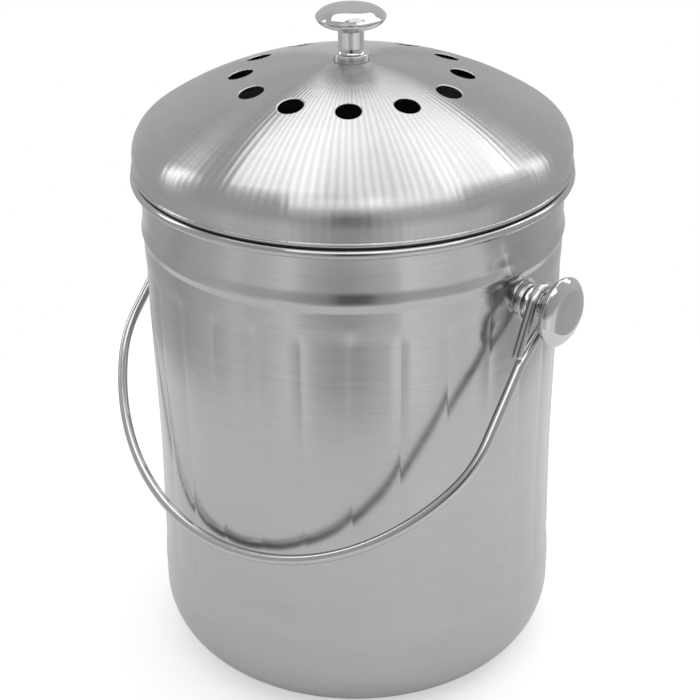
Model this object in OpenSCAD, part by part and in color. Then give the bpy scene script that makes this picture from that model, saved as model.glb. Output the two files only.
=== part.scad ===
// Countertop compost pail: drawn steel pail with pressed flutes, wire bail on two knobs,
// and a vented lift-off lid that holds a charcoal filter.
// Millimetres, +Z up, origin on the ground at the middle of the base, bail pivots along X.

/* [Pail] */
// Height of the pail to the top of its rolled rim
pail_h = 218.7; // [200:0.1:240]
// Outer radius of the plain wall
wall_r = 85.9; // [80:0.1:95]
// Thickness of the drawn sheet
sheet_t = 0.6; // [0.4:0.05:0.8]
// How far the collar flares out from the wall up to the rim
rim_flare = 0.9; // [0.5:0.05:2]
// Height of that flare under the middle of the rim
rim_flare_h = 8; // [4:0.5:12]
// Height of the collar under the middle of the rim, down to the slope of the ridge
collar_h = 16.5; // [14:0.5:30]
// Height of the slope from the collar out to the ridge
slope_h = 4.9; // [2:0.1:10]
// How far the ridge stands out from the wall
ridge_out = 1; // [0.5:0.05:2]
// Height of the step from the ridge back in to the wall
step_h = 3.7; // [2:0.1:8]
// Section radius of the rolled rim
bead_r = 1.95; // [1.5:0.05:3]
// How far the rolled rim stands inside the sheet that it is rolled from
bead_tuck = 0.1; // [0:0.05:0.3]

/* [Base] */
// Radius of the corner between wall and base
base_corner_r = 26.6; // [10:0.1:35]
// Width of the flat ring that the pail stands on
foot_ring_w = 5; // [3:0.5:10]
// Height of the raised middle of the base
dish_h = 1.5; // [0.8:0.1:4]
// Width of the slope up to the raised middle
dish_slope_w = 3; // [2:0.5:8]

/* [Flutes] */
// Number of flutes round the wall
flute_count = 28; // [16:2:40]
// Depth of a flute's middle below the plain wall
flute_depth = 0.9; // [0.6:0.05:1.5]
// Extra depth of the crease between two flutes
crease_depth = 0.22; // [0.1:0.02:0.5]
// Distance from the foot of the ridge down to the top of the flutes
flute_top_gap = 3.6; // [1:0.1:20]
// Height of the flutes' lower end
flute_bottom = 38; // [36:0.5:70]
// Height over which the flutes slope in at each end
flute_slope_h = 10; // [4:0.5:14]

/* [Knobs] */
// Diameter of a knob's cap
cap_d = 28; // [22:0.5:32]
// Rise of the cap's domed face
cap_dome_h = 3.5; // [1:0.1:5]
// How flat the middle of the domed face is: 2 is evenly round, more is flatter
cap_dome_power = 4; // [2:0.1:6]
// Height of the cap's hollowed underside
cap_under_h = 4.6; // [3.5:0.1:9]
// Diameter of the knob's neck
neck_d = 10.3; // [9.5:0.1:12]
// Length of the straight neck
neck_l = 7.5; // [5.6:0.1:10]
// Diameter of the collar at the knob's foot
foot_d = 14.7; // [13.5:0.1:17]
// Height of the collar at the knob's foot
foot_h = 3.1; // [2:0.1:5]
// Height of the flare between collar and neck
flare_h = 2.6; // [1.5:0.1:4]
// Depth of the flat seat pressed into the wall for a knob
seat_press = 0.5; // [0.3:0.05:0.8]
// How far a seat reaches past the knob's collar
seat_margin = 0.6; // [0.3:0.1:1.5]

/* [Bail] */
// Diameter of the bail's wire
wire_d = 4.2; // [3:0.1:4.6]
// Distance from the top of the rim down to the bail's pivots
pivot_drop = 37.05; // [32:0.05:50]
// Distance from the pivots to the far middle of the bail
bail_reach = 135; // [128:0.5:150]
// How much larger the middle arc's radius is than the distance out to an eye
bail_arc_more = 6.5; // [4:0.1:15]
// Radius of the bail's two corners
bail_corner_r = 46.9; // [30:0.5:55]
// Outward lean of the bail's straight legs, in degrees
leg_lean = 1.2; // [0:0.1:3]
// Length of the doubled wire under an eye
tail_l = 23; // [18:0.5:30]
// Radius of the bend where the wire comes off an eye into its leg
eye_bend_r = 15; // [10:0.5:25]
// Distance from the start of the straight neck out to the middle of an eye
eye_stand = 2.8; // [2.4:0.1:3.2]
// Clearance between an eye and its neck
eye_clear = 0.3; // [0.2:0.05:0.6]
// Gap between the doubled wires at the tail's end
tail_gap = 0.2; // [0.1:0.05:0.6]
// Gap between the resting bail and the wall
rest_gap = 0.4; // [0.3:0.05:1]

/* [Lid] */
// Rise of the dome above the top of the rim
lid_rise = 43.3; // [38:0.1:52]
// How far the lid's skirt stands inside the rim's outer edge
skirt_inset = 1.2; // [0.8:0.1:3]
// Height of the lid's upright skirt above its hem
skirt_h = 6.8; // [6.4:0.1:9]
// Radius of the lid's shoulder
shoulder_r = 14.6; // [8:0.1:18]
// Section radius of the lid's hem
hem_r = 0.9; // [0.7:0.05:1.2]
// Gap between the rim and the lid's hem
lid_gap = 0.9; // [0.7:0.05:1.5]
// Number of vent holes
vent_count = 12; // [6:1:16]
// Diameter of a vent hole
vent_d = 10; // [5:0.5:12]
// Radius of the ring of vent holes
vent_ring_r = 44; // [36:0.5:55]
// Turn of the first vent hole from the front, in degrees
vent_turn = 8; // [0:0.5:30]

/* [Lid inside] */
// Clearance between the lid's plug ring and the pail's mouth
plug_clear = 3.7; // [2.8:0.1:5]
// Depth of the plug ring below its flange
plug_depth = 14; // [10:0.5:18]
// Height of the ring's upturned edge against the lid's skirt
upturn_h = 3.6; // [2:0.1:4]
// Gap between the seal's lip and the rim
seal_gap = 0.3; // [0.2:0.05:0.5]
// How far the seal's lip stops inside the hem's outer edge
lip_inset = 0.7; // [0.5:0.1:1.5]

/* [Filter] */
// Clearance between the retainer and the plug ring
retainer_clear = 0.35; // [0.3:0.05:0.6]
// Gap between the retainer's flange and the plug ring
retainer_gap = 0.3; // [0.2:0.05:0.6]
// Thickness of the retainer's rim
retainer_t = 2.2; // [1.5:0.1:3]
// Height of the retainer's rim above its flange
retainer_rim_h = 9; // [6:0.5:10]
// How far the retainer's flange reaches past its rim
retainer_lip = 0.6; // [0.4:0.1:1.2]
// Thickness of the retainer's flange
retainer_flange_t = 1.5; // [1:0.1:3]
// Height of the retainer's spokes
spoke_h = 2.4; // [2:0.1:4]
// Width of a spoke
spoke_w = 4; // [3:0.5:8]
// Number of spokes
spoke_count = 6; // [4:1:8]
// Radius of the ring that the spokes meet
hub_r = 16; // [10:1:30]
// Thickness of the charcoal filter
filter_t = 8; // [4:0.5:10]
// Clearance round the filter
filter_clear = 0.9; // [0.4:0.1:1.5]

/* [Fasteners] */
// Diameter of a screw's shank
screw_d = 5; // [4:0.5:6]
// Clearance round a screw's shank
screw_clear = 0.1; // [0.05:0.05:0.3]
// Length of a screw's shank inside its knob
screw_bite = 11; // [8:0.5:13]
// Diameter of a screw's head
head_d = 9.2; // [8:0.2:11]
// Height of a screw's head
head_h = 2.8; // [2.2:0.1:4]
// Width of the cross slots in a screw's head
slot_w = 1.2; // [0.8:0.1:1.6]
// Length of the cross slots
slot_l = 5.8; // [4:0.1:7]
// Depth of the cross slots
slot_depth = 1.5; // [0.8:0.1:2]
// Width of the bevel round a screw's head
head_edge = 0.6; // [0.3:0.1:1]
// Diameter of a washer
washer_d = 12.6; // [12:0.1:15]
// Thickness of a washer
washer_t = 1; // [0.6:0.1:1.6]
// Thickness of a rubber seal behind a handle knob
rubber_t = 1.2; // [0.8:0.1:2.5]

/* [Hidden] */
$fn = 96;
steel = [0.72, 0.72, 0.73];
polished = [0.80, 0.80, 0.82];
dark = [0.12, 0.12, 0.12];
plastic = [0.30, 0.31, 0.32];
eps = 0.05;
over = 5;

// Pail
bead_z = pail_h - bead_r;
flare_r = wall_r + rim_flare;
ridge_r = wall_r + ridge_out;
bead_c_r = flare_r - sheet_t - bead_tuck + bead_r;
rim_r = bead_c_r + bead_r;
mouth_r = bead_c_r - bead_r;
collar_z = bead_z - collar_h;
slope_z = collar_z - slope_h;
step_z = slope_z - step_h;
foot_r = wall_r - base_corner_r;
dish_r = foot_r - foot_ring_w - dish_slope_w;
pitch = 360 / flute_count;
flute_r = wall_r - flute_depth;
flute_top = step_z - flute_top_gap;
pivot_z = pail_h - pivot_drop;
flute_steps = 4;
dip_more = 0.15;
dip_r = flute_r - crease_depth - dip_more;

// Knob seats: small flats pressed into the wall at the pivots and into the top of the lid
seat_r = foot_d / 2 + seat_margin;
seat_x = wall_r - seat_press;

// Knob heights above its seat
neck_z = foot_h + flare_h;
cap_z = neck_z + neck_l;
rim_of_cap_z = cap_z + cap_under_h;
knob_top_z = rim_of_cap_z + cap_dome_h;
bore_r = screw_d / 2 + screw_clear;
bore_spare = 1;

// Bail
wire_r = wire_d / 2;
eye_r = neck_d / 2 + eye_clear + wire_r;
eye_x = seat_x + neck_z + eye_stand;
bail_arc_r = eye_x + bail_arc_more;
leg_w = wire_r + tail_gap / 2;
front_y = wall_r + wire_r + rest_gap;
rest_tilt = asin(front_y / norm([bail_reach, leg_w])) + atan(leg_w / bail_reach);
splice_l = 0.8;
splice_gap = 0.1;
splice_r = wire_r + 0.04;
arc_v = bail_reach - bail_arc_r;
leg_in = [eye_x - bail_corner_r * cos(leg_lean), bail_corner_r * sin(leg_lean) - arc_v];
leg_dot = leg_in[0] * sin(leg_lean) + leg_in[1] * cos(leg_lean);
leg_l = sqrt(leg_dot * leg_dot - leg_in * leg_in + pow(bail_arc_r - bail_corner_r, 2)) - leg_dot;
corner_c = leg_in + leg_l * [sin(leg_lean), cos(leg_lean)] + [0, arc_v];
join_a = atan2(arc_v - corner_c[1], corner_c[0]);

// Lid
skirt_r = rim_r - skirt_inset;
hem_z = pail_h + lid_gap + hem_r;
hem_c_r = skirt_r - sheet_t / 2;
shoulder_c = [skirt_r - shoulder_r, pail_h + lid_gap + skirt_h];
lid_top = pail_h + lid_rise;
dome_h = lid_top - shoulder_c[1];
dome_r = (pow(shoulder_c[0], 2) + dome_h * dome_h - shoulder_r * shoulder_r) / (2 * (dome_h - shoulder_r));
dome_a = asin(shoulder_c[0] / (dome_r - shoulder_r));
dome_start = 6;
lid_seat_z = lid_top - dome_r + sqrt(dome_r * dome_r - seat_r * seat_r);

// Lid inside
flange_z = pail_h + lid_gap + 2 * hem_r;
plug_r = mouth_r - plug_clear;
plug_z = flange_z - plug_depth;
lip_r = hem_c_r + hem_r - lip_inset;
seal_hug = 0.05;
seal_body_r = hem_c_r - hem_r - seal_hug;

// Filter
retainer_r = plug_r - sheet_t - retainer_clear;
retainer_in_r = retainer_r - retainer_t;
retainer_top = plug_z - retainer_gap;
retainer_z = retainer_top - retainer_flange_t;
filter_z = retainer_z + spoke_h;
filter_r = retainer_in_r - filter_clear;

// Points on an arc about c, from angle a0 to a1
function arc_points(c, r, a0, a1, n) =
    [for (i = [0:n]) c + r * [cos(a0 + (a1 - a0) * i / n), sin(a0 + (a1 - a0) * i / n)]];

// Angle at which a straight run to point p leaves an eye of radius r
function leave_angle(p, r) = atan2(abs(p[1]), p[0]) + acos(r / norm(p));

// Half section of the pail drawn in by t, with the flutes' band dipped to just below their creases
function pail_section(t) = concat(
    [[0, dish_h + t], [dish_r + t / 2, dish_h + t], [foot_r - foot_ring_w + t / 2, t]],
    arc_points([foot_r, base_corner_r], base_corner_r - t, -90, 0, 12),
    [
        [wall_r - t, flute_bottom], [dip_r - t, flute_bottom + flute_slope_h],
        [dip_r - t, flute_top - flute_slope_h], [wall_r - t, flute_top],
        [wall_r - t, step_z], [ridge_r - t, slope_z], [wall_r - t, collar_z],
        [wall_r - t, bead_z - rim_flare_h], [flare_r - t, bead_z], [0, bead_z]
    ]
);

// Outline of the fluted wall, drawn in by t: each flute bulges a little and creases part them
function flute_outline(t) = [
    for (k = [0:flute_count - 1], j = [0:flute_steps - 1])
        let (s = 2 * j / flute_steps - 1, a = (k + j / flute_steps) * pitch, r = flute_r - t - crease_depth * s * s)
            r * [cos(a), sin(a)]
];

// Solid bounded by the pail's surface, drawn in by t
module pail_solid(t) {
    rotate_extrude()
        polygon(pail_section(t));
    translate([0, 0, flute_bottom])
        linear_extrude(flute_top - flute_bottom)
            polygon(flute_outline(t));
}

// Pail surface with the two knob seats pressed flat
module seated_solid(t, grow) {
    difference() {
        pail_solid(t);
        for (turn = [0, 180])
            rotate([0, 0, turn])
                translate([seat_x - t, 0, pivot_z])
                    rotate([0, 90, 0])
                        cylinder(h = over, r = seat_r + grow);
    }
    for (turn = [0, 180])
        rotate([0, 0, turn])
            translate([seat_x - t - over, 0, pivot_z])
                rotate([0, 90, 0])
                    cylinder(h = over, r = seat_r - grow);
}

module pail_shell() {
    color(steel) {
        difference() {
            seated_solid(0, 0);
            seated_solid(sheet_t, sheet_t);
            translate([0, 0, bead_z - eps])
                cylinder(h = over, r = flare_r - sheet_t);
            translate([-wall_r - over, 0, pivot_z])
                rotate([0, 90, 0])
                    cylinder(h = 2 * (wall_r + over), r = bore_r);
        }
        rotate_extrude()
            translate([bead_c_r, bead_z])
                circle(r = bead_r);
    }
}

// Mushroom knob standing on its seat at z = 0
module knob() {
    cap_r = cap_d / 2;
    neck_r = neck_d / 2;
    under = [for (a = [90:-15:0]) [neck_r + (cap_r - neck_r) * cos(a), rim_of_cap_z - cap_under_h * sin(a)]];
    top = [for (x = [0.97, 0.92, 0.85, 0.75, 0.62, 0.45, 0.25, 0])
        [cap_r * x, rim_of_cap_z + cap_dome_h * (1 - pow(x, cap_dome_power))]];
    difference() {
        rotate_extrude()
            polygon(concat(
                [[0, 0], [foot_d / 2, 0], [foot_d / 2, foot_h], [neck_r, neck_z]],
                under, top
            ));
        translate([0, 0, -eps])
            cylinder(h = screw_bite + bore_spare + eps, r = bore_r);
    }
}

// Pan head screw: its head's bearing face is at z = 0 and its shank runs up
module screw(shank_l) {
    difference() {
        union() {
            cylinder(h = shank_l, r = screw_d / 2);
            translate([0, 0, head_edge - head_h])
                cylinder(h = head_h - head_edge, r = head_d / 2);
            translate([0, 0, -head_h])
                cylinder(h = head_edge, r1 = head_d / 2 - head_edge, r2 = head_d / 2);
        }
        for (turn = [0, 90])
            rotate([0, 0, turn])
                translate([-slot_l / 2, -slot_w / 2, -head_h - eps])
                    cube([slot_l, slot_w, slot_depth + eps]);
    }
}

// Flat ring, such as a washer
module ring(outer_r, inner_r, h) {
    difference() {
        cylinder(h = h, r = outer_r);
        translate([0, 0, -eps])
            cylinder(h = h + 2 * eps, r = inner_r);
    }
}

// Places a piece that stands on z = 0 so that it points out along X at radius x, on one side
module at_pivot(turn, x) {
    rotate([0, 0, turn])
        translate([x, 0, pivot_z])
            rotate([0, 90, 0])
                children();
}

module handle_knob(turn) {
    color(polished)
        at_pivot(turn, seat_x)
            knob();
}

module handle_seal(turn) {
    color(dark)
        at_pivot(turn, seat_x - sheet_t - rubber_t)
            ring(washer_d / 2, bore_r, rubber_t);
}

module handle_washer(turn) {
    color(steel)
        at_pivot(turn, seat_x - sheet_t - rubber_t - washer_t)
            ring(washer_d / 2, bore_r, washer_t);
}

module handle_screw(turn) {
    stack = sheet_t + rubber_t + washer_t;
    color(steel)
        at_pivot(turn, seat_x - stack)
            screw(stack + screw_bite);
}

// Part of a wire ring of radius r about c, in the XY plane, stopping just short of its two ends
module wire_arc(c, r, a0, a1) {
    short = splice_gap / r * 180 / PI;
    translate([c[0], c[1], 0])
        rotate([0, 0, a0 + short])
            rotate_extrude(angle = a1 - a0 - 2 * short)
                translate([r, 0])
                    circle(r = wire_r);
}

// Straight wire from p to q, in the XY plane, stopping just short of both
module wire_run(p, q) {
    translate([p[0], p[1], 0])
        rotate([0, 0, atan2(q[1] - p[1], q[0] - p[0])])
            translate([splice_gap, 0, 0])
                rotate([0, 90, 0])
                    cylinder(h = norm(q - p) - 2 * splice_gap, r = wire_r);
}

// Hair-thick sleeve that joins two stretches of wire in line, along direction a
module splice(p, a) {
    translate([p[0], p[1], 0])
        rotate([0, 0, a])
            translate([-splice_l / 2, 0, 0])
                rotate([0, 90, 0])
                    cylinder(h = splice_l, r = splice_r);
}

// Eye round a knob's neck with its tail and leg, in the XY plane with the leg along X
module bail_eye() {
    a = leave_angle([tail_l, leg_w], eye_r);
    leave = eye_r * [cos(a), sin(a)];
    enter = eye_r * [cos(a), -sin(a)];
    bend_t = eye_bend_r * tan(45 - a / 2);
    bend_in = [tail_l, leg_w] - bend_t * [sin(a), -cos(a)];
    bend_out = [tail_l + bend_t, leg_w];
    wire_arc([0, 0], eye_r, a, 360 - a);
    wire_run(enter, [tail_l, -leg_w]);
    wire_run(leave, bend_in);
    wire_arc(bend_out + [0, eye_bend_r], eye_bend_r, a - 180, -90);
    wire_run(bend_out, [leg_l, leg_w]);
    splice(leave, a - 90);
    splice(enter, 90 - a);
    splice(bend_in, a - 90);
    splice(bend_out, 0);
    splice([leg_l, leg_w], 0);
}

// Eye, leg and corner on the +X side
module bail_side() {
    translate([eye_x, 0, 0])
        rotate([0, 90 - leg_lean, 0])
            bail_eye();
    translate([0, leg_w, 0])
        rotate([90, 0, 0]) {
            wire_arc([corner_c[0], -corner_c[1]], bail_corner_r, join_a, leg_lean);
            splice(bail_arc_r * [cos(join_a), sin(join_a)] - [0, arc_v], join_a + 90);
        }
}

module bail_handle() {
    color(polished)
        translate([0, 0, pivot_z])
            rotate([-rest_tilt, 0, 0]) {
                bail_side();
                mirror([1, 0, 0])
                    bail_side();
                translate([0, leg_w, 0])
                    rotate([90, 0, 0])
                        wire_arc([0, -arc_v], bail_arc_r, -180 - join_a, join_a);
            }
}

// Half section of the lid's dome and skirt, drawn in by t, without its hem
function lid_section(t) = concat(
    [[0, lid_seat_z - t], [seat_r, lid_seat_z - t]],
    arc_points([0, lid_top - dome_r], dome_r - t, 90 - dome_start, 90 - dome_a, 10),
    arc_points(shoulder_c, shoulder_r - t, 90 - dome_a, 0, 8),
    [[skirt_r - t, hem_z - t], [0, hem_z - t]]
);

module lid_shell() {
    color(steel) {
        difference() {
            rotate_extrude()
                polygon(lid_section(0));
            rotate_extrude()
                polygon(lid_section(sheet_t));
            rotate_extrude()
                translate([hem_c_r, hem_z])
                    circle(r = hem_r - eps);
            translate([0, 0, lid_seat_z - over])
                cylinder(h = 2 * over, r = bore_r);
            for (k = [0:vent_count - 1])
                rotate([0, 0, -90 + vent_turn + k * 360 / vent_count])
                    translate([vent_ring_r, 0, shoulder_c[1]])
                        cylinder(h = dome_h, d = vent_d);
        }
        rotate_extrude()
            translate([hem_c_r, hem_z])
                circle(r = hem_r);
    }
}

module lid_inner_ring() {
    outer = skirt_r - sheet_t;
    color(steel)
        rotate_extrude()
            polygon([
                [plug_r - sheet_t, plug_z], [plug_r, plug_z], [plug_r, flange_z],
                [outer, flange_z], [outer, flange_z + upturn_h],
                [outer - sheet_t, flange_z + upturn_h], [outer - sheet_t, flange_z + sheet_t],
                [plug_r - sheet_t, flange_z + sheet_t]
            ]);
}

module lid_gasket() {
    inner = plug_r + seal_hug;
    low = pail_h + seal_gap;
    lip_top = pail_h + lid_gap;
    color(dark)
        rotate_extrude()
            polygon([
                [inner, low], [lip_r, low], [lip_r, lip_top],
                [seal_body_r, lip_top], [seal_body_r, flange_z], [inner, flange_z]
            ]);
}

module lid_knob() {
    color(polished)
        translate([0, 0, lid_seat_z])
            knob();
}

module lid_washer() {
    color(steel)
        translate([0, 0, lid_seat_z - sheet_t - washer_t])
            ring(washer_d / 2, bore_r, washer_t);
}

module lid_screw() {
    color(steel)
        translate([0, 0, lid_seat_z - sheet_t - washer_t])
            screw(sheet_t + washer_t + screw_bite);
}

module filter_retainer() {
    color(plastic) {
        translate([0, 0, retainer_z])
            ring(retainer_r + retainer_lip, retainer_in_r, retainer_flange_t);
        translate([0, 0, retainer_z])
            ring(retainer_r, retainer_in_r, retainer_flange_t + retainer_rim_h);
        translate([0, 0, retainer_z])
            ring(hub_r, hub_r - spoke_w, spoke_h);
        for (k = [0:spoke_count - 1])
            rotate([0, 0, k * 360 / spoke_count])
                translate([hub_r - spoke_w / 2, -spoke_w / 2, retainer_z])
                    cube([retainer_in_r - hub_r + spoke_w / 2 + retainer_t / 2, spoke_w, spoke_h]);
    }
}

module filter_disc() {
    color(dark)
        translate([0, 0, filter_z])
            cylinder(h = filter_t, r = filter_r);
}

pail_shell();
bail_handle();
handle_knob(180);  // handle_knob_left
handle_knob(0);  // handle_knob_right
handle_screw(180);  // handle_screw_left
handle_screw(0);  // handle_screw_right
handle_washer(180);  // handle_washer_left
handle_washer(0);  // handle_washer_right
handle_seal(180);  // handle_seal_left
handle_seal(0);  // handle_seal_right
lid_shell();
lid_inner_ring();
lid_gasket();
lid_knob();
lid_screw();
lid_washer();
filter_retainer();
filter_disc();
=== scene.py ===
"""Countertop compost pail with a vented lift-off lid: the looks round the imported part.

Lengths in the making functions are millimetres in the part's own frame; meshes are written in metres.
"""

import math

import bmesh
import bpy
import numpy as np
from mathutils import Matrix, Vector


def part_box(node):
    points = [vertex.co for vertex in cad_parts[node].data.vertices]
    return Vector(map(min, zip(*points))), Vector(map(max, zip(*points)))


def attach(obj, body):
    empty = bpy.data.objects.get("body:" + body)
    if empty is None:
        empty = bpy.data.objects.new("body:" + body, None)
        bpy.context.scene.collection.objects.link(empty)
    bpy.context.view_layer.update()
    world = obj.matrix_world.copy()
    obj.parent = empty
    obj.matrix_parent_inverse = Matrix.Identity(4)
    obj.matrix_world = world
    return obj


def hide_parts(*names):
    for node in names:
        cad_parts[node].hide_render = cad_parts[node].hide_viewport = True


MM = 0.001

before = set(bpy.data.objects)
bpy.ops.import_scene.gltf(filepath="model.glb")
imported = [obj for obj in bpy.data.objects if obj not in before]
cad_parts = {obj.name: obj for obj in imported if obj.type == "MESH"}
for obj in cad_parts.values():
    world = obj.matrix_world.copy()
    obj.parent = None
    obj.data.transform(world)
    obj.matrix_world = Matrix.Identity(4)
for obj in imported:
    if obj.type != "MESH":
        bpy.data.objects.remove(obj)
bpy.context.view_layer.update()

# Sizes of the part, as in its source
WALL_R = 85.9
SHEET = 0.6
COLLAR_Z = 200.25
RIDGE_R = 86.9
RIDGE_Z = 195.35
STEP_Z = 191.65
FLARE_R = 86.8
FLARE_Z = 208.75
BEAD_R = 1.95
BEAD_C = (88.05, 216.75)
CORNER_R = 26.6
FOOT_R = 59.3
RING_W = 5.0
DISH_H = 1.5
DISH_SLOPE = 3.0
FLUTES = 28
FLUTE_TOP = 188.0
FLUTE_LOW = 38.0
FLUTE_SLOPE_H = 10.0
FLUTE_RUN_OUT_H = 13.0
ARCH_H = 1.6
ARCH_POWER = 2.2
CREASE = 0.34
CREASE_POWER = 3
SEAT_X = 85.4
SEAT_R = 7.95
PIVOT_Z = 181.65
CAP_R = 14.0
CAP_DOME = 3.5
CAP_CURVE = 5.5
NECK_R = 5.15
NECK_Z = 5.7
CAP_Z = 13.2
CAP_EDGE_Z = 17.8
FOOT_KNOB_R = 7.35
FOOT_KNOB_H = 3.1
WIRE_R = 2.1
EYE_R = 7.55
EYE_X = 93.9
BAIL_REACH = 135.0
BAIL_ARC_R = 100.4
BAIL_CORNER_R = 46.9
LEG_LEAN = 1.2
TAIL_L = 23.0
LEG_W = 2.2
EYE_BEND_R = 15.0
REST_GAP = 0.4
SKIRT_R = 88.8
HEM_R = 0.9
HEM_C = (88.5, 220.5)
VENTS = 12
VENT_R = 5.0
VENT_RING_R = 44.0
VENT_TURN = 8.0

# Wall between the flutes: its radius low down, and how it swells above
PLAIN_LOW_R = 85.72
PLAIN_SWELL = 0.28
SWELL_Z = 60.0
SWELL_H = 110.0

# Depth of a flute: shallow at the top, deeper by DEPTH_MORE towards the base, and easing off at its lower end
DEPTH_TOP = 0.45
DEPTH_MORE = 0.78
DEPTH_Z = 165.0
DEPTH_H = 70.0
EASE_SHARE = 0.55
EASE_Z = 50.0
EASE_H = 50.0

# The lid's dome: two arcs that meet at DOME_JOIN_R, then the shoulder's arc
DOME_TOP_Z = 261.9
DOME_R = 164.0
DOME_OUTER_R = 128.0
DOME_JOIN_R = 50.0
SHOULDER_R = 15.0

# The lid's mesh: screw bore, the band of the vents and the rounding of their edges
LID_BORE_R = 2.6
VENT_BAND = (36.0, 53.0)
VENT_LIP = 0.28
VENT_SIDES = 20
VENT_RAYS = 8
VENT_BLEND = (0.0, 0.05, 0.13, 0.26, 0.45, 0.7, 1.0)

# Waves round the lid's brushing, which bump it and are also painted into its colour as glints, in radians of
# wave to a radian of turn
STREAK_TURNS = 150.0

# Fine rounding of the knobs
KNOB_FILLET = 0.5
COLLAR_FILLET = 0.45
NECK_FLARE = 1.25

# Camera of the photograph, fitted to its ellipses and outline
CAM_AZ = 39.8
CAM_EL = 27.2019
CAM_ROLL = -0.72507
CAM_DIST = 742.7493
CAM_SIDE = -1.95405
CAM_AIM_Z = 132.79381
CAM_FOCAL_PX = 1732.83
FRAME_PX = 700


def smooth(x):
    """Smooth step from 0 to 1 as x goes from 0 to 1."""
    x = np.clip(x, 0.0, 1.0)
    return x * x * (3 - 2 * x)


def mesh_object(name, verts, faces, merge=1e-6):
    """A smooth-shaded mesh object from points in millimetres."""
    mesh = bpy.data.meshes.new(name)
    mesh.from_pydata((np.asarray(verts, float) * MM).tolist(), [], faces)
    mesh.validate()
    obj = bpy.data.objects.new(name, mesh)
    bpy.context.scene.collection.objects.link(obj)
    bm = bmesh.new()
    bm.from_mesh(mesh)
    bmesh.ops.remove_doubles(bm, verts=bm.verts, dist=merge)
    bmesh.ops.recalc_face_normals(bm, faces=bm.faces)
    bm.to_mesh(mesh)
    bm.free()
    mesh.shade_smooth()
    return obj


def grid_faces(rows, cols):
    """Quads over rows of points, where each row closes on itself."""
    faces = []
    for i in range(rows - 1):
        i2 = i + 1
        for j in range(cols):
            j2 = (j + 1) % cols
            corners = (i * cols + j, i * cols + j2, i2 * cols + j2, i2 * cols + j)
            faces.append(corners)
    return faces


def arc(c, r, a0, a1, n):
    """Points on an arc about c, from a0 to a1 degrees, both ends included."""
    angles = [math.radians(a0 + (a1 - a0) * i / n) for i in range(n + 1)]
    return [(c[0] + r * math.cos(a), c[1] + r * math.sin(a)) for a in angles]


def spin(profile, angles):
    """Points of a half section [(r, z), ...] turned about Z to each angle in radians."""
    prof = np.array(profile, float)
    x = np.outer(prof[:, 0], np.cos(angles))
    y = np.outer(prof[:, 0], np.sin(angles))
    z = np.repeat(prof[:, 1:2], len(angles), 1)
    return np.stack([x, y, z], -1).reshape(-1, 3)


# Pail


def wall_radius(s, z):
    """Outer radius of the wall at height z, where s runs from -1 to 1 across one flute."""
    plain = PLAIN_LOW_R + PLAIN_SWELL * smooth((z - SWELL_Z) / SWELL_H)
    depth = DEPTH_TOP + DEPTH_MORE * smooth((DEPTH_Z - z) / DEPTH_H)
    depth = depth * (EASE_SHARE + (1 - EASE_SHARE) * smooth((z - EASE_Z) / EASE_H))
    reach = ARCH_H * np.abs(s) ** ARCH_POWER
    below_top = smooth((FLUTE_TOP - reach - z) / FLUTE_SLOPE_H)
    above_low = smooth((z - FLUTE_LOW - reach) / FLUTE_RUN_OUT_H)
    return plain - below_top * above_low * (depth + CREASE * np.abs(s) ** CREASE_POWER)


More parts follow.
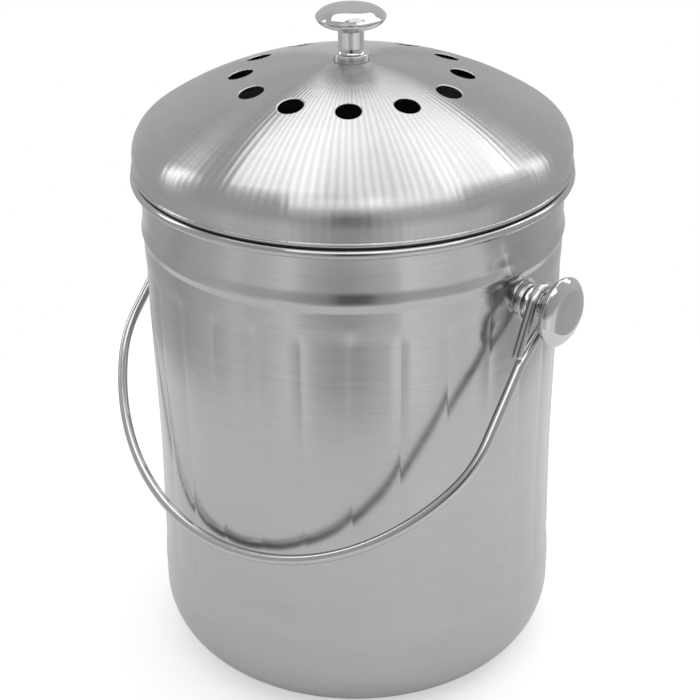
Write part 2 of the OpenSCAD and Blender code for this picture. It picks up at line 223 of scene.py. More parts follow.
def make_pail():
    """The drawn shell, outside and inside, with finer columns by the two knob seats."""
    s_cols = np.array([-1, -0.97, -0.9, -0.78, -0.62, -0.42, -0.2, 0, 0.2, 0.42, 0.62, 0.78, 0.9, 0.97])
    s = np.tile(s_cols, FLUTES)
    angle = (np.repeat(np.arange(FLUTES), len(s_cols)) + (s + 1) / 2) * 2 * math.pi / FLUTES
    close = np.radians(np.arange(-7.6, 7.7, 0.4))
    clear_of_seats = np.cos(angle) ** 2 < math.cos(math.radians(7.9)) ** 2
    angle = np.sort(np.concatenate([angle[clear_of_seats], close % (2 * math.pi), close + math.pi]))
    s = (angle * FLUTES / (2 * math.pi) % 1) * 2 - 1
    cos_a, sin_a = np.cos(angle), np.sin(angle)
    rows = []

    def ring(r, z):
        r = np.broadcast_to(r, angle.shape)
        x, y = r * cos_a, r * sin_a
        return np.stack([x, y, np.full_like(x, z)], -1)

    def wall_ring(z, t):
        r = wall_radius(s, z) - t
        x, y = r * cos_a, r * sin_a
        near = smooth((SEAT_R + 0.9 - np.hypot(y, z - PIVOT_Z)) / 0.9)
        x = np.where(np.abs(y) < 20, x + near * (np.sign(x) * (SEAT_X - t) - x), x)
        return np.stack([x, y, np.full_like(x, z)], -1)

    def base_rows(t):
        d = FOOT_R - RING_W - DISH_SLOPE
        out = [(r, DISH_H + t) for r in (0.0, 12, 24, 36, 46, d - 1.0)]
        out += [(d, DISH_H + t), (d + 0.8, DISH_H - 0.2 + t), (d + 2.4, 0.25 + t), (d + 3.2, t), (d + 4.2, t)]
        out += [(r, t) for r in (d + 6.0, FOOT_R - 0.5)]
        out += arc((FOOT_R, CORNER_R), CORNER_R - t, -90, 0, 26)
        return out

    wall_z = np.concatenate([
        np.arange(28.5, 36, 2.5), np.arange(36, 54, 0.8), np.arange(54, 166, 3.2), np.arange(166, 172, 1.0),
        np.arange(172, 191.2, 0.4),
    ])
    top_r = float(wall_radius(np.array([0.0]), STEP_Z)[0])
    ridge = RIDGE_R - top_r
    neck = [(top_r, STEP_Z - 0.3), (top_r + 0.03, STEP_Z + 0.2), (top_r + 0.2, STEP_Z + 0.95)]
    neck += [(top_r + ridge * f, STEP_Z + (RIDGE_Z - STEP_Z) * f) for f in (0.45, 0.65)]
    neck += [(RIDGE_R - 0.17, RIDGE_Z - 0.75)]
    neck += [(RIDGE_R - 0.06, RIDGE_Z + dz) for dz in (-0.25, 0.2)]
    neck += [(RIDGE_R - ridge * f, RIDGE_Z + (COLLAR_Z - RIDGE_Z) * f) for f in (0.14, 0.3, 0.5, 0.7, 0.86)]
    neck += [(top_r + 0.04, COLLAR_Z), (top_r, COLLAR_Z + 0.6)]
    neck += [(top_r, z) for z in (202.0, 204.5, 207.0)]
    neck += [(top_r + 0.02, FLARE_Z - 0.4), (top_r + 0.09, FLARE_Z + 0.5)]
    flare = (FLARE_R - top_r) / (BEAD_C[1] - FLARE_Z)
    neck += [(top_r + flare * (z - FLARE_Z), z) for z in (210.5, 212.5, 214.3)]
    tuck = WALL_R - float(wall_radius(np.array([0.0]), wall_z[0])[0])
    rows += [ring(r - tuck * smooth((z - 2) / 24), z) for r, z in base_rows(0.0)]
    rows += [wall_ring(z, 0.0) for z in wall_z]
    rows += [ring(r, z) for r, z in neck]
    rows += [ring(r, z) for r, z in arc(BEAD_C, BEAD_R, -136.5, 172, 34)]
    rows += [ring(r - SHEET, z) for r, z in reversed(neck)]
    rows += [wall_ring(z, SHEET) for z in wall_z[::-1]]
    rows += [ring(r - tuck * smooth((z - 2) / 24), z) for r, z in reversed(base_rows(SHEET))]
    return mesh_object("pail_drawn_shell", np.concatenate(rows), grid_faces(len(rows), len(angle)))


# Lid


def lid_arcs():
    """The dome's two arcs and the shoulder's arc: (centre, radius) each, and the radii where they meet."""
    r1, r2, rho = DOME_R, DOME_OUTER_R, SHOULDER_R
    c1 = (0.0, DOME_TOP_Z - r1)
    a1 = math.asin(DOME_JOIN_R / r1)
    c2 = (c1[0] + (r1 - r2) * math.sin(a1), c1[1] + (r1 - r2) * math.cos(a1))
    x3 = SKIRT_R - rho
    z3 = c2[1] + math.sqrt((r2 - rho) ** 2 - (x3 - c2[0]) ** 2)
    a2 = math.atan2(x3 - c2[0], z3 - c2[1])
    return (c1, r1, a1), (c2, r2, a2), ((x3, z3), rho)


def lid_height(r, t):
    """Height of the dome's surface at radius r, t inside the sheet."""
    (c1, r1, a1), (c2, r2, _), _ = lid_arcs()
    inner = c1[1] + np.sqrt((r1 - t) ** 2 - r * r)
    outer = c2[1] + np.sqrt((r2 - t) ** 2 - (r - c2[0]) ** 2)
    return np.where(r < (r1 - t) * math.sin(a1), inner, outer)


def make_lid():
    """The spun dome, outside and inside, with its rolled hem and a ring of cut vents."""
    seat_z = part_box("lid_knob")[0].z / MM
    half = 180.0 / VENTS
    step = 2 * half / VENT_SIDES
    angles = np.radians(-90 + VENT_TURN - half + step * np.arange(VENTS * VENT_SIDES))
    r_in, r_out = VENT_BAND
    verts, faces = [], []
    count = 0

    def add(points, new_faces):
        nonlocal count
        verts.append(points)
        faces.extend(tuple(i + count for i in f) for f in new_faces)
        count += len(points)

    def strip(profile):
        add(spin(profile, angles), grid_faces(len(profile), len(angles)))

    def crown(t):
        flat = seat_z - t
        pts = [(LID_BORE_R, flat), (5.0, flat), (SEAT_R - 0.4, flat)]
        for r in (SEAT_R + 0.6, 10, 13, 17, 22, 27, 32, r_in):
            pts.append((r, float(lid_height(np.array(r), t))))
        return pts

    def skirt(t):
        _, (c2, r2, a2), (c3, rho) = lid_arcs()
        a0 = math.asin((r_out - c2[0]) / (r2 - t))
        runs = ((c2, r2 - t, np.linspace(a0, a2, 14)), (c3, rho - t, np.linspace(a2, math.pi / 2, 22)[1:]))
        return [(c[0] + r * math.sin(a), c[1] + r * math.cos(a)) for c, r, run in runs for a in run]

    strip(crown(0.0))
    strip(crown(SHEET)[::-1])
    strip([crown(0.0)[0], crown(SHEET)[0]])
    half_gap = math.degrees(math.acos((SKIRT_R - HEM_C[0]) / HEM_R))
    hem = arc(HEM_C, HEM_R, half_gap, half_gap - 360 + 2 * (90 - half_gap), 26)
    hem_top = hem[0][1]
    upright_z = (225.0, 224.0, 223.0, 222.2, hem_top + 0.1)
    upright = [(SKIRT_R, z) for z in upright_z]
    upright_in = [(SKIRT_R - SHEET, z) for z in upright_z[::-1]]
    strip(skirt(0.0) + upright + hem + upright_in + skirt(SHEET)[::-1])

    loop = [(r_out, -half + step * i) for i in range(VENT_SIDES)]
    loop += [(r_out + (r_in - r_out) * i / VENT_RAYS, half) for i in range(VENT_RAYS)]
    loop += [(r_in, half - step * i) for i in range(VENT_SIDES)]
    loop += [(r_in + (r_out - r_in) * i / VENT_RAYS, -half) for i in range(VENT_RAYS)]
    edge = np.array([(r * math.cos(math.radians(a)), r * math.sin(math.radians(a))) for r, a in loop])
    centre = np.array([VENT_RING_R, 0.0])
    out = edge - centre
    unit = out / np.linalg.norm(out, axis=1)[:, None]
    circle = centre + unit * (VENT_R + VENT_LIP)
    rim = centre + unit * VENT_R
    for k in range(VENTS):
        turn = math.radians(-90 + VENT_TURN + 360.0 / VENTS * k)
        rot = np.array([[math.cos(turn), -math.sin(turn)], [math.sin(turn), math.cos(turn)]])
        layers = []

        def layer(xy, t, rise=0.0):
            layers.append(np.column_stack([xy @ rot.T, lid_height(np.hypot(*xy.T), t) + rise]))

        for b in VENT_BLEND[::-1]:
            layer(circle + (edge - circle) * b, 0.0)
        layer(rim, 0.0, -VENT_LIP * 0.75)
        layer(rim, SHEET, 0.05)
        for b in VENT_BLEND:
            layer(circle + (edge - circle) * b, SHEET)
        add(np.concatenate(layers), grid_faces(len(layers), len(edge)))
    return mesh_object("lid_spun_dome", np.concatenate(verts), faces, merge=2e-6)


# Knobs


def knob_profile():
    """Half section of a knob from the foot's middle up round the cap to the dome's middle."""
    pts = [(0.0, 0.0), (3.0, 0.0), (FOOT_KNOB_R - KNOB_FILLET, 0.0)]
    pts += arc((FOOT_KNOB_R - KNOB_FILLET, KNOB_FILLET), KNOB_FILLET, -90, 0, 5)
    pts += arc((FOOT_KNOB_R - COLLAR_FILLET, FOOT_KNOB_H - COLLAR_FILLET), COLLAR_FILLET, 0, 90, 5)
    pts += [(FOOT_KNOB_R - 0.75, FOOT_KNOB_H)]
    flare_h = NECK_Z - FOOT_KNOB_H
    for a in np.radians(np.linspace(12, 90, 9)):
        pts.append((NECK_R + NECK_FLARE * (1 - math.sin(a)), FOOT_KNOB_H + flare_h * (1 - math.cos(a))))
    pts += [(NECK_R, NECK_Z + 1.5), (NECK_R, CAP_Z - 1.6), (NECK_R, CAP_Z - 0.7)]
    pts += [(NECK_R + 0.12, CAP_Z - 0.3), (NECK_R + 0.45, CAP_Z - 0.02)]
    for a in np.radians(np.linspace(84, 6, 22)):
        pts.append((NECK_R + (CAP_R - NECK_R) * math.cos(a), CAP_EDGE_Z - (CAP_EDGE_Z - CAP_Z) * math.sin(a)))
    pts += arc((CAP_R - KNOB_FILLET, CAP_EDGE_Z - 0.15), KNOB_FILLET, 0, 48, 6)
    for r in (13.5, 13.25, 12.95, 12.6, 12.1, 11.5, 10.8, 10.0, 9.0, 8.0, 6.6, 5.0, 3.3, 1.6, 0.0):
        pts.append((r, CAP_EDGE_Z + CAP_DOME * (1 - (r / CAP_R) ** CAP_CURVE)))
    return pts


def make_knob(name, place):
    profile = knob_profile()
    angles = np.radians(np.arange(0, 360, 3.75))
    obj = mesh_object(name, spin(profile, angles), grid_faces(len(profile), len(angles)))
    obj.data.transform(place)
    return obj


def side_place(turn):
    """Matrix that stands a knob on the wall at a pivot."""
    return (
        Matrix.Rotation(math.radians(turn), 4, "Z")
        @ Matrix.Translation((SEAT_X * MM, 0, PIVOT_Z * MM))
        @ Matrix.Rotation(math.radians(90), 4, "Y")
    )


# Bail


def bail_side_path():
    """Centre line on the +X side, before the tilt: tail, eye, leg, corner, then half the middle arc."""
    reach = math.hypot(TAIL_L, LEG_W)
    a = math.atan2(LEG_W, TAIL_L) + math.acos(EYE_R / reach)
    leave = EYE_R * np.array([math.cos(a), math.sin(a)])
    enter = leave * (1, -1)
    turn = math.pi / 2 - a
    bend_t = EYE_BEND_R * math.tan(turn / 2)
    corner = np.array([TAIL_L, LEG_W])
    bend_in = corner - bend_t * np.array([math.sin(a), -math.cos(a)])
    bend_out = corner + (bend_t, 0)
    flat = [enter + (np.array([TAIL_L, -LEG_W]) - enter) * f for f in np.linspace(1, 0.06, 16)]
    for b in np.linspace(2 * math.pi - a, a, 44):
        flat.append(EYE_R * np.array([math.cos(b), math.sin(b)]))
    flat += [leave + (bend_in - leave) * f for f in np.linspace(0.08, 0.96, 12)]
    centre = bend_out + (0, EYE_BEND_R)
    for b in np.linspace(a - math.pi, -math.pi / 2, 8):
        flat.append(centre + EYE_BEND_R * np.array([math.cos(b), math.sin(b)]))
    lean = math.radians(LEG_LEAN)
    arc_v = BAIL_REACH - BAIL_ARC_R
    leg_in = np.array([EYE_X - BAIL_CORNER_R * math.cos(lean), BAIL_CORNER_R * math.sin(lean) - arc_v])
    along = np.array([math.sin(lean), math.cos(lean)])
    dot = float(leg_in @ along)
    leg_l = math.sqrt(dot * dot - float(leg_in @ leg_in) + (BAIL_ARC_R - BAIL_CORNER_R) ** 2) - dot
    corner_c = leg_in + leg_l * along + (0, arc_v)
    join = math.atan2(arc_v - corner_c[1], corner_c[0])
    flat += [bend_out + (np.array([leg_l, LEG_W]) - bend_out) * f for f in np.linspace(0.05, 0.97, 22)]
    path = [(EYE_X + p[0] * math.sin(lean), p[1], -p[0] * math.cos(lean)) for p in flat]
    corner_run = (corner_c[0], -corner_c[1], BAIL_CORNER_R, np.linspace(lean, join, 24))
    middle_run = (0.0, -arc_v, BAIL_ARC_R, np.linspace(join, -math.pi / 2, 74)[1:])
    for x, z, r, run in (corner_run, middle_run):
        path += [(x + r * math.cos(b), LEG_W, z + r * math.sin(b)) for b in run]
    return np.array(path)


def sweep(name, path, radius, sides):
    """Round wire along a path, with slightly domed ends that stand out by end_h."""
    tangent = np.gradient(path, axis=0)
    tangent /= np.linalg.norm(tangent, axis=1)[:, None]
    normal = np.cross(tangent[0], (0, 0, 1.0))
    normal /= np.linalg.norm(normal)
    rings = []
    caps = ((0.45, 0.72), (0.12, 0.93), (0.0, 1.0))
    end_h = 0.5
    circle = np.radians(np.arange(sides) * 360.0 / sides)

    def ring(p, n, t, k):
        b = np.cross(t, n)
        return p + radius * k * (np.outer(np.cos(circle), n) + np.outer(np.sin(circle), b))

    for i, p in enumerate(path):
        n = normal - tangent[i] * (normal @ tangent[i])
        normal = n / np.linalg.norm(n)
        if i == 0:
            rings.append(np.repeat((p - tangent[i] * end_h)[None], sides, 0))
            rings += [ring(p - tangent[i] * d, normal, tangent[i], k) for d, k in caps]
        elif i == len(path) - 1:
            rings += [ring(p + tangent[i] * d, normal, tangent[i], k) for d, k in caps[::-1]]
            rings.append(np.repeat((p + tangent[i] * end_h)[None], sides, 0))
        else:
            rings.append(ring(p, normal, tangent[i], 1.0))
    verts = np.concatenate(rings)
    return mesh_object(name, verts, grid_faces(len(rings), sides))


def make_bail():
    side = bail_side_path()
    other = side[::-1][1:] * (-1, 1, 1)
    path = np.concatenate([side, other])
    tilt = math.asin((WALL_R + WIRE_R + REST_GAP) / math.hypot(BAIL_REACH, LEG_W))
    tilt += math.atan(LEG_W / BAIL_REACH)
    c, s = math.cos(tilt), math.sin(tilt)
    y = path[:, 1] * c + path[:, 2] * s
    z = -path[:, 1] * s + path[:, 2] * c + PIVOT_Z
    return sweep("bail_wire", np.column_stack([path[:, 0], y, z]), WIRE_R, 24)


# Materials


class Nodes:
    """Small helper to build a node material."""

    def __init__(self, name):
        self.mat = bpy.data.materials.new(name)
        self.mat.use_nodes = True
        self.tree = self.mat.node_tree
        self.bsdf = self.tree.nodes["Principled BSDF"]

    def link(self, a, b):
        self.tree.links.new(a, b)

    def fed(self, node, values):
        """The node's first output, once its sockets hold the numbers or the links."""
        for socket, v in zip(node.inputs, values):
            if isinstance(v, (int, float)):
                socket.default_value = v
            else:
                self.link(v, socket)
        return node.outputs[0]

    def math(self, op, *values):
        node = self.tree.nodes.new("ShaderNodeMath")
        node.operation = op
        return self.fed(node, values)

    def vector(self, x, y, z):
        return self.fed(self.tree.nodes.new("ShaderNodeCombineXYZ"), (x, y, z))

    def noise(self, vector, scale=1.0, detail=2.0, rough=0.5):
        node = self.tree.nodes.new("ShaderNodeTexNoise")
        self.link(vector, node.inputs["Vector"])
        node.inputs["Scale"].default_value = scale
        node.inputs["Detail"].default_value = detail
        node.inputs["Roughness"].default_value = rough
        return node.outputs["Fac"]

    def ramp(self, value, low, high, to_low, to_high):
        node = self.tree.nodes.new("ShaderNodeMapRange")
        self.link(value, node.inputs["Value"])
        for key, v in (("From Min", low), ("From Max", high), ("To Min", to_low), ("To Max", to_high)):
            node.inputs[key].default_value = v
        return node.outputs[0]

    def smooth_ramp(self, value, low, high, to_low, to_high):
        result = self.ramp(value, low, high, to_low, to_high)
        result.node.interpolation_type = "SMOOTHSTEP"
        return result

    def blend(self, value, low, high):
        """Colour that goes from low to high with value from 0 to 1."""
        node = self.tree.nodes.new("ShaderNodeMix")
        node.data_type = "RGBA"
        node.inputs[6].default_value = (*low, 1)
        node.inputs[7].default_value = (*high, 1)
        self.link(value, node.inputs[0])
        return node.outputs[2]

    def scale(self, colour, factor):
        """Colour times a factor."""
        node = self.tree.nodes.new("ShaderNodeVectorMath")
        node.operation = "SCALE"
        self.link(colour, node.inputs[0])
        self.link(factor, node.inputs["Scale"])
        return node.outputs[0]

    def bump(self, height, distance, normal=None):
        node = self.tree.nodes.new("ShaderNodeBump")
        node.inputs["Distance"].default_value = distance
        node.inputs["Strength"].default_value = 1.0
        self.link(height, node.inputs["Height"])
        if normal is not None:
            self.link(normal, node.inputs["Normal"])
        return node.outputs["Normal"]

    def object_xyz(self):
        coord = self.tree.nodes.new("ShaderNodeTexCoord")
        split = self.tree.nodes.new("ShaderNodeSeparateXYZ")
        self.link(coord.outputs["Object"], split.inputs[0])
        return coord.outputs["Object"], split.outputs


def brushed_steel(name, along_dome, tone=0.56, rough=0.3, aniso=0.75, streaks=0.0):
    """Steel brushed round the Z axis: fine lines round it, and with streaks, faint waves with azimuth that
    bump it and are also painted into its colour as a painted highlight of glints, strongest on the side that
    faces the camera.
    """
    n = Nodes(name)
    obj, (x, y, z) = n.object_xyz()
    r = n.math("SQRT", n.math("ADD", n.math("MULTIPLY", x, x), n.math("MULTIPLY", y, y)))
    r = n.math("MAXIMUM", r, 0.001)
    cos_a = n.math("DIVIDE", x, r)
    sin_a = n.math("DIVIDE", y, r)
    across = n.math("SUBTRACT", r, z) if along_dome else z

    def lines(round_scale, across_scale, **settings):
        """Noise that is stretched along the brushing."""
        scales = ((cos_a, round_scale), (sin_a, round_scale), (across, across_scale))
        return n.noise(n.vector(*(n.math("MULTIPLY", v, k) for v, k in scales)), **settings)

    fine = lines(5.0, 1500.0, detail=3.0, rough=0.65)
    coarse = lines(2.2, 420.0)
    cloudy = n.noise(obj, scale=28.0, detail=3.0)
    rest = n.math("ADD", n.math("MULTIPLY", coarse, 0.25), n.math("MULTIPLY", cloudy, 0.2))
    grain = n.ramp(n.math("ADD", n.math("MULTIPLY", fine, 0.55), rest), 0.3, 0.7, 0.0, 1.0)
    dark = (tone * 0.93, tone * 0.93, tone * 0.935)
    light = (tone * 1.06, tone * 1.06, tone * 1.07)
    colour = n.blend(grain, dark, light)
    if streaks:
        drift = lines(7.0, 12.0)
        turn = n.math("MULTIPLY", n.math("ARCTAN2", sin_a, cos_a), STREAK_TURNS)
        wave = n.math("SINE", n.math("ADD", turn, n.math("MULTIPLY", drift, 7.0)))
        front = math.radians(CAM_AZ)
        right, ahead = n.math("MULTIPLY", cos_a, math.sin(front)), n.math("MULTIPLY", sin_a, math.cos(front))
        toward = n.math("SUBTRACT", right, ahead)
        # Painted highlight: the brushing waves go into the colour at 1% of its grey all round, rising to 10%
        # on the side that faces the camera and dropping to a tenth of that below 232 mm height, so that they
        # stand in for glints in the fan of light.
        chatter_and_painted_glint = n.math("MULTIPLY", wave, n.smooth_ramp(toward, 0.76, 0.93, 0.01, 0.1))
        chatter_and_painted_glint = n.math("MULTIPLY", chatter_and_painted_glint, n.smooth_ramp(z, 0.2325, 0.2375, 0.1, 1.0))
        tone_and_painted_glint = n.math("ADD", n.math("ADD", chatter_and_painted_glint, 1.0), n.ramp(cloudy, 0.3, 0.7, -0.02, 0.02))
        colour = n.scale(colour, tone_and_painted_glint)
    n.link(colour, n.bsdf.inputs["Base Color"])
    n.link(n.ramp(coarse, 0.25, 0.75, rough - 0.02, rough + 0.02), n.bsdf.inputs["Roughness"])
    n.bsdf.inputs["Metallic"].default_value = 1.0
    n.bsdf.inputs["Anisotropic"].default_value = aniso
    n.bsdf.inputs["Anisotropic Rotation"].default_value = 0.25
    tangent = n.tree.nodes.new("ShaderNodeTangent")
    tangent.direction_type = "RADIAL"
    tangent.axis = "Z"
    n.link(tangent.outputs[0], n.bsdf.inputs["Tangent"])
    normal = n.bump(fine, 0.000001)
    if streaks:
        normal = n.bump(wave, streaks, normal=normal)
    n.link(normal, n.bsdf.inputs["Normal"])
    return n.mat


def polished_steel(name, tone, rough):
    """Polished steel with faint handling marks."""
    n = Nodes(name)
    obj, _ = n.object_xyz()
    marks = n.noise(obj, scale=900.0, detail=4.0, rough=0.7)
    cloud = n.noise(obj, scale=140.0, detail=2.0)
    n.link(n.blend(cloud, (tone * 0.97,) * 3, (tone * 1.02,) * 3), n.bsdf.inputs["Base Color"])
    n.bsdf.inputs["Metallic"].default_value = 1.0
    n.link(n.ramp(marks, 0.3, 0.8, rough * 0.7, rough * 1.5), n.bsdf.inputs["Roughness"])
    n.link(n.bump(marks, 0.000004), n.bsdf.inputs["Normal"])
    return n.mat


def rubber(name):
    n = Nodes(name)
    obj, _ = n.object_xyz()
    grain = n.noise(obj, scale=2400.0, detail=3.0)
    n.link(n.blend(grain, (0.012,) * 3, (0.022,) * 3), n.bsdf.inputs["Base Color"])
    n.bsdf.inputs["Roughness"].default_value = 0.62
    n.link(n.bump(grain, 0.00003), n.bsdf.inputs["Normal"])
    return n.mat


def moulded_plastic(name):
    n = Nodes(name)
    obj, _ = n.object_xyz()
    grain = n.noise(obj, scale=1500.0, detail=4.0, rough=0.6)
    cloud = n.noise(obj, scale=60.0, detail=2.0)
    n.link(n.blend(cloud, (0.045, 0.045, 0.048), (0.06, 0.06, 0.063)), n.bsdf.inputs["Base Color"])
    n.link(n.ramp(grain, 0.3, 0.7, 0.42, 0.52), n.bsdf.inputs["Roughness"])
    n.link(n.bump(grain, 0.00004), n.bsdf.inputs["Normal"])
    return n.mat


def charcoal_felt(name):
    n = Nodes(name)
    obj, _ = n.object_xyz()
    fibre = n.noise(obj, scale=1900.0, detail=6.0, rough=0.75)
    lump = n.noise(obj, scale=210.0, detail=3.0)
    mix = n.math("ADD", n.math("MULTIPLY", fibre, 0.6), n.math("MULTIPLY", lump, 0.4))
    n.link(n.blend(n.ramp(mix, 0.3, 0.7, 0.0, 1.0), (0.008,) * 3, (0.04,) * 3), n.bsdf.inputs["Base Color"])
    n.bsdf.inputs["Roughness"].default_value = 0.95
    n.bsdf.inputs["Specular IOR Level"].default_value = 0.2
    n.bsdf.inputs["Sheen Weight"].default_value = 0.25
    n.link(n.bump(mix, 0.0006), n.bsdf.inputs["Normal"])
    return n.mat


def paint(obj, mat):
    obj.data.materials.clear()
    obj.data.materials.append(mat)


# Stage

FLOOR_R = 0.33
FLOOR_SIDES = 96
FLOOR_GAP = 0.00005
FLOOR_TONE = 0.68
GLOW_TO_CAMERA = 0.5
GLOW_TO_STEEL = 0.14


def make_floor():
    """A disc of paper just below the foot. It glows a little to the camera, and less to the steel."""
    rim = arc((0, 0), FLOOR_R, 0, 360, FLOOR_SIDES)[:-1]
    mesh = bpy.data.meshes.new("floor")
    mesh.from_pydata([(x, y, 0) for x, y in rim], [], [tuple(range(FLOOR_SIDES))])
    obj = bpy.data.objects.new("floor", mesh)
    bpy.context.scene.collection.objects.link(obj)
    obj.location.z = -FLOOR_GAP
    mat = bpy.data.materials.new("floor_paper")
    mat.use_nodes = True
    tree = mat.node_tree
    tree.nodes.clear()
    out = tree.nodes.new("ShaderNodeOutputMaterial")
    diffuse = tree.nodes.new("ShaderNodeBsdfDiffuse")
    diffuse.inputs["Color"].default_value = (FLOOR_TONE, FLOOR_TONE, FLOOR_TONE, 1)
    glow = tree.nodes.new("ShaderNodeEmission")
    path = tree.nodes.new("ShaderNodeLightPath")
    shown = tree.nodes.new("ShaderNodeMath")
    shown.operation = "MULTIPLY"
    shown.inputs[1].default_value = GLOW_TO_CAMERA
    tree.links.new(path.outputs["Is Camera Ray"], shown.inputs[0])
    mirrored = tree.nodes.new("ShaderNodeMath")
    mirrored.operation = "MULTIPLY_ADD"
    mirrored.inputs[1].default_value = GLOW_TO_STEEL
    tree.links.new(path.outputs["Is Glossy Ray"], mirrored.inputs[0])
    tree.links.new(shown.outputs[0], mirrored.inputs[2])
    tree.links.new(mirrored.outputs[0], glow.inputs["Strength"])
    both = tree.nodes.new("ShaderNodeAddShader")
    tree.links.new(diffuse.outputs[0], both.inputs[0])
    tree.links.new(glow.outputs[0], both.inputs[1])
    tree.links.new(both.outputs[0], out.inputs["Surface"])
    obj.data.materials.append(mat)


def direction(azimuth, elevation):
    """Unit vector towards an azimuth counted from the camera's, to its right, and an elevation."""
    a, e = math.radians(CAM_AZ + azimuth), math.radians(elevation)
    return Vector((math.sin(a) * math.cos(e), -math.cos(a) * math.cos(e), math.sin(e)))


def area_lamp(name, width, depth, radiance):
    """Rectangular lamp of an even radiance, hidden from the camera."""
    light = bpy.data.lights.new(name, "AREA")
    light.shape = "RECTANGLE"
    light.size, light.size_y = width, depth
    light.energy = radiance * math.pi * width * depth
    obj = bpy.data.objects.new(name, light)
    bpy.context.scene.collection.objects.link(obj)
    obj.visible_camera = False
    return obj


def softbox(name, azimuth, elevation, distance, width, height, radiance):
    """Lamp that faces the part, named by its direction from it."""
    obj = area_lamp(name, width, height, radiance)
    towards = direction(azimuth, elevation)
    obj.location = Vector((0, 0, 0.2)) + towards * distance
    obj.rotation_mode = "QUATERNION"
    obj.rotation_quaternion = towards.to_track_quat("Z", "Y")


def ceiling_box(name, right, back, height, width, depth, radiance, turn):
    """Lamp that hangs level over the part. Right and back are counted from the camera's view."""
    obj = area_lamp(name, width, depth, radiance)
    obj.location = direction(90, 0) * right + direction(180, 0) * back + Vector((0, 0, 0.25 + height))
    obj.rotation_euler = (0, 0, math.radians(CAM_AZ + turn))


# Studio round the part, by azimuth from the camera to its right: below the horizon, and just above it
STUDIO_LOW = (
    (-180, 0.66), (-160, 0.62), (-142, 0.48), (-123, 0.5), (-110, 0.44), (-97, 0.52), (-88, 0.54), (-78, 0.6),
    (-68, 0.72), (-58, 0.64), (-46, 0.7), (-36, 0.82), (-24, 0.58), (-12, 0.47), (-4, 0.45), (4, 0.5),
    (11, 0.58), (22, 0.66), (27, 0.9), (45, 0.8), (58, 0.74), (72, 0.8), (82, 0.5), (100, 0.42), (119, 0.5),
    (142, 0.5), (160, 0.56), (180, 0.66),
)
STUDIO_MID = (
    (-180, 0.57), (-150, 0.58), (-100, 0.5), (-60, 0.45), (-40, 0.41), (-22, 0.34), (-13, 0.28), (-7, 0.04),
    (7, 0.04), (13, 0.28), (22, 0.38), (60, 0.42), (100, 0.54), (150, 0.58), (180, 0.57),
)
STUDIO_HIGH = 0.5


def make_world():
    """White to the camera, and a grey studio to everything that the part mirrors."""
    world = bpy.data.worlds.new("studio")
    bpy.context.scene.world = world
    world.use_nodes = True
    tree = world.node_tree
    tree.nodes.clear()
    out = tree.nodes.new("ShaderNodeOutputWorld")
    coord = tree.nodes.new("ShaderNodeTexCoord")

    def node(kind, *values, **settings):
        made = tree.nodes.new(kind)
        for key, v in settings.items():
            setattr(made, key, v)
        for i, v in enumerate(values):
            if isinstance(v, (int, float, Vector)):
                made.inputs[i].default_value = v
            else:
                tree.links.new(v, made.inputs[i])
        return made

    def along(axis):
        ray = coord.outputs["Generated"]
        return node("ShaderNodeVectorMath", ray, axis, operation="DOT_PRODUCT").outputs["Value"]

    side, near, high = along(direction(90, 0)), along(direction(0, 0)), along(Vector((0, 0, 1)))
    azimuth = node("ShaderNodeMath", side, near, operation="ARCTAN2").outputs[0]
    turn = node("ShaderNodeMapRange", azimuth, -math.pi, math.pi, 0.0, 1.0).outputs[0]

    def round_studio(table):
        ramp = node("ShaderNodeValToRGB", turn)
        ramp.color_ramp.interpolation = "LINEAR"
        stops = ramp.color_ramp.elements
        while len(stops) > 1:
            stops.remove(stops[-1])
        for i, (a, v) in enumerate(table):
            stop = stops[0] if i == 0 else stops.new((a + 180) / 360)
            stop.position = (a + 180) / 360
            stop.color = (v, v, v, 1)
        return ramp.outputs["Color"]

    def blend(low, top, bottom, upper):
        """One colour below the height low, the other above top, and a smooth change between."""
        factor = node("ShaderNodeMapRange", high, low, top, 0.0, 1.0, interpolation_type="SMOOTHSTEP")
        mixed = node("ShaderNodeMix", factor.outputs[0], data_type="RGBA")
        tree.links.new(bottom, mixed.inputs[6])
        if isinstance(upper, float):
            mixed.inputs[7].default_value = (upper, upper, upper, 1)
        else:
            tree.links.new(upper, mixed.inputs[7])
        return mixed.outputs[2]

    horizon = blend(-0.3, -0.02, round_studio(STUDIO_LOW), round_studio(STUDIO_MID))
    sky = blend(0.45, 0.8, horizon, STUDIO_HIGH)
    room = node("ShaderNodeBackground", sky, 1.0)
    white = tree.nodes.new("ShaderNodeBackground")
    white.inputs["Color"].default_value = (1, 1, 1, 1)
    white.inputs["Strength"].default_value = 1.0
    path = tree.nodes.new("ShaderNodeLightPath")
    mix = tree.nodes.new("ShaderNodeMixShader")
    tree.links.new(path.outputs["Is Camera Ray"], mix.inputs[0])
    tree.links.new(room.outputs[0], mix.inputs[1])
    tree.links.new(white.outputs[0], mix.inputs[2])
    tree.links.new(mix.outputs[0], out.inputs["Surface"])


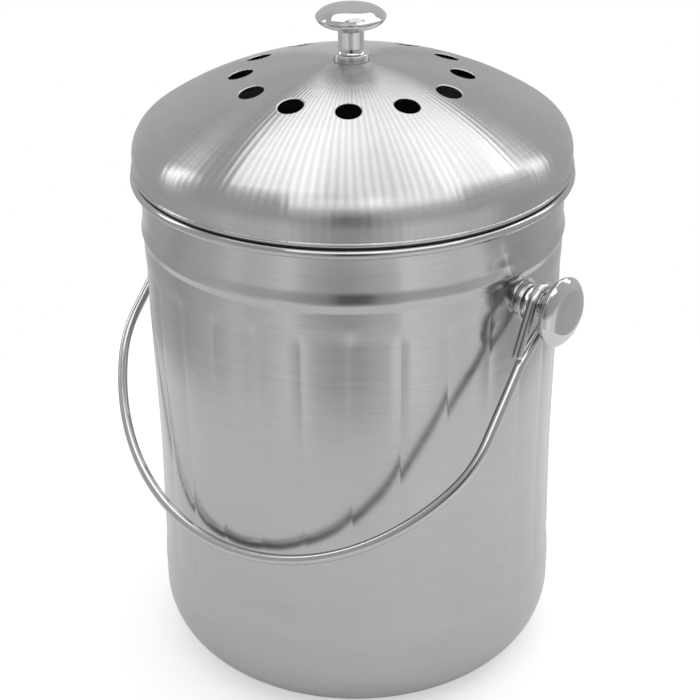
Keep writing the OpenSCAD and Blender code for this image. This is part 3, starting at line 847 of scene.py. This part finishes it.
def make_camera():
    """The photograph's camera, with its small roll."""
    a, roll = math.radians(CAM_AZ), math.radians(CAM_ROLL)
    right = Vector((math.cos(a), math.sin(a), 0))
    back = direction(0, CAM_EL)
    up = back.cross(right)
    r2 = math.cos(roll) * right + math.sin(roll) * up
    u2 = -math.sin(roll) * right + math.cos(roll) * up
    place = (right * CAM_SIDE + Vector((0, 0, CAM_AIM_Z)) + back * CAM_DIST) * MM
    data = bpy.data.cameras.new("camera")
    data.sensor_width = 36.0
    data.lens = 36.0 * CAM_FOCAL_PX / FRAME_PX
    data.clip_start, data.clip_end = 0.05, 50.0
    cam = bpy.data.objects.new("camera", data)
    bpy.context.scene.collection.objects.link(cam)
    cam.matrix_world = Matrix((
        (r2.x, u2.x, back.x, place.x),
        (r2.y, u2.y, back.y, place.y),
        (r2.z, u2.z, back.z, place.z),
        (0, 0, 0, 1),
    ))
    bpy.context.scene.camera = cam


def dress(obj, body, slot, mat, *nodes):
    """Gives a new piece its material and body, and hides the imported nodes that it stands for. The slot is
    not used.
    """
    paint(obj, mat)
    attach(obj, body)
    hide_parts(*nodes)


make_camera()
make_floor()
make_world()
ceiling_box("overhead_left", -0.18, 0.46, 1.0, 0.62, 1.36, 1.4, -31)
ceiling_box("overhead_right", 0.56, 0.44, 1.0, 0.8, 1.3, 1.36, 48)
ceiling_box("overhead_middle", 0.12, 0.3, 1.0, 0.5, 1.25, 0.62, 8)
softbox("front_left", -12, 51, 1.2, 0.82, 0.6, 1.2)
softbox("front_right", 40, 51, 1.2, 0.8, 0.6, 1.2)
softbox("side_left", -106, 27, 1.2, 0.24, 0.56, 2.2)
softbox("side_right", 113, 31, 1.2, 0.26, 0.66, 1.8)

steel_wall = brushed_steel("steel_brushed_wall", False, rough=0.166, aniso=0.78)
steel_lid = brushed_steel("steel_brushed_lid_painted_glint", True, rough=0.25, aniso=1.0, streaks=0.00001)
steel_ring = brushed_steel("steel_spun_ring", True, tone=0.55, rough=0.3, aniso=0.5)
chrome = polished_steel("steel_mirror", 0.7, 0.045)
wire = polished_steel("steel_wire", 0.62, 0.16)
satin = polished_steel("steel_satin", 0.55, 0.26)
black = rubber("rubber_black")
plastic = moulded_plastic("plastic_dark")
felt = charcoal_felt("felt_charcoal")

dress(make_pail(), "pail", "brushed_steel", steel_wall, "pail_shell")
dress(make_lid(), "lid", "brushed_steel", steel_lid, "lid_shell")
dress(make_bail(), "bail", "polished_wire", wire, "bail_handle")
dress(make_knob("knob_right", side_place(0)), "pail", "knob_chrome", chrome, "handle_knob_right")
dress(make_knob("knob_left", side_place(180)), "pail", "knob_chrome", chrome, "handle_knob_left")
lid_top = Matrix.Translation((0, 0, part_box("lid_knob")[0].z))
dress(make_knob("knob_lid", lid_top), "lid", "knob_chrome", chrome, "lid_knob")

for kind in ("screw", "washer"):
    for place in ("handle_{}_left", "handle_{}_right", "lid_{}"):
        paint(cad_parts[place.format(kind)], satin)
for node in ("handle_seal_left", "handle_seal_right", "lid_gasket"):
    paint(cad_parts[node], black)
paint(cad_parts["lid_inner_ring"], steel_ring)
paint(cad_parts["filter_retainer"], plastic)
paint(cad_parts["filter_disc"], felt)

bpy.context.scene.view_settings.view_transform = "Standard"
